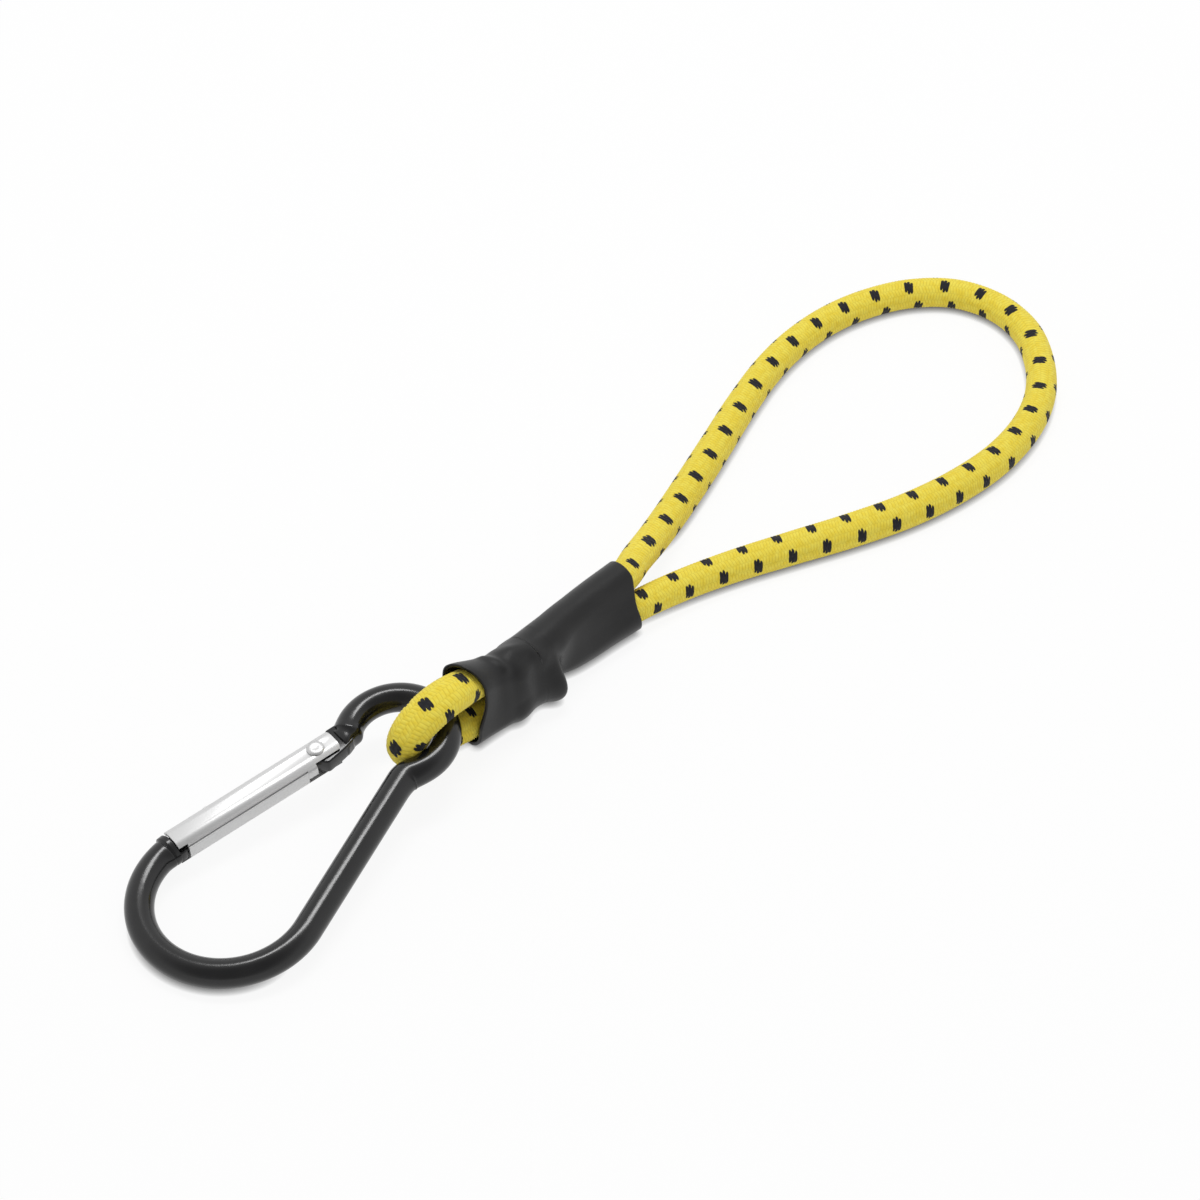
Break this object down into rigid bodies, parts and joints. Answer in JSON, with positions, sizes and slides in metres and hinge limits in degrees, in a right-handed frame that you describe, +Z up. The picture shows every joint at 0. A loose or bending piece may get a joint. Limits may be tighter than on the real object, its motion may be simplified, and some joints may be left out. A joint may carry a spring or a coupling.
{
  "type": "bungee cord",
  "caption": "Elastic cord loop in a flecked braided sheath, bound by a shrunk sleeve to a pear-shaped snap carabiner with a sprung folded gate, for tying and hanging goods.",
  "frame": {"origin": "on the table, on the flat underside of the sleeve's thick part", "axes": "+X from the carabiner towards the loop, +Y to the carabiner's gate side, +Z up from the table that the tie lies on"},
  "size_m": [0.2474, 0.0592, 0.0204],
  "materials": {
    "cord_sheath": "yellow braid with rows of black flecks",
    "cord_core": "natural rubber",
    "shrink_sleeve": "matt black shrink tube",
    "ring_steel": "drawn wire",
    "body_black": "gloss black",
    "gate_aluminium": "satin",
    "rivet_aluminium": "satin",
    "spring_steel": "bright"
  },
  "bodies": {
    "sleeve": {"shrink_sleeve": "shrink_sleeve", "front_ring": "ring_steel", "rear_ring": "ring_steel", "eye_sheath": "cord_sheath", "eye_core": "cord_core", "tail_sheath": "cord_sheath", "tail_core": "cord_core", "far_leg_sheath": "cord_sheath", "far_leg_core": "cord_core", "near_leg_sheath": "cord_sheath", "near_leg_core": "cord_core"},
    "carabiner": {"carabiner_body": "body_black", "gate_rivet": "rivet_aluminium"},
    "gate": {"gate_shell": "gate_aluminium", "gate_spring": "spring_steel"},
    "plunger": {"spring_plunger": "spring_steel"},
    "loop": {"loop_bow_sheath": "cord_sheath", "loop_bow_core": "cord_core"}
  },
  "joints": [
    {"name": "carabiner_swing", "type": "hinge", "parent": "sleeve", "child": "carabiner", "pos_m": [-0.02491, 0.00014, 0.01052], "axis": [0.3478, 0.9364, 0.0458], "range_deg": [-90, 90]},
    {"name": "gate_hinge", "type": "hinge", "parent": "carabiner", "child": "gate", "pos_m": [-0.04758, 0.01113, 0.00826], "axis": [-0.104, -0.01, 0.9945], "range_deg": [0, 30], "stiffness_Nm_per_rad": 0.15, "springref_deg": -34.38},
    {"name": "plunger_slide", "type": "slide", "parent": "gate", "child": "plunger", "axis": [-0.9852, 0.138, -0.1017], "range_m": [0, 0.0012], "deforming": ["gate_spring"]},
    {"name": "loop_stretch", "type": "slide", "parent": "sleeve", "child": "loop", "axis": [1, 0, 0], "range_m": [0, 0.06], "stiffness_N_per_m": 1200, "deforming": ["far_leg_sheath", "far_leg_core", "near_leg_sheath", "near_leg_core"]}
  ],
  "couplings": [
    {"joint": "plunger_slide", "follows": "gate_hinge", "m_per_rad": 0.0022}
  ]
}
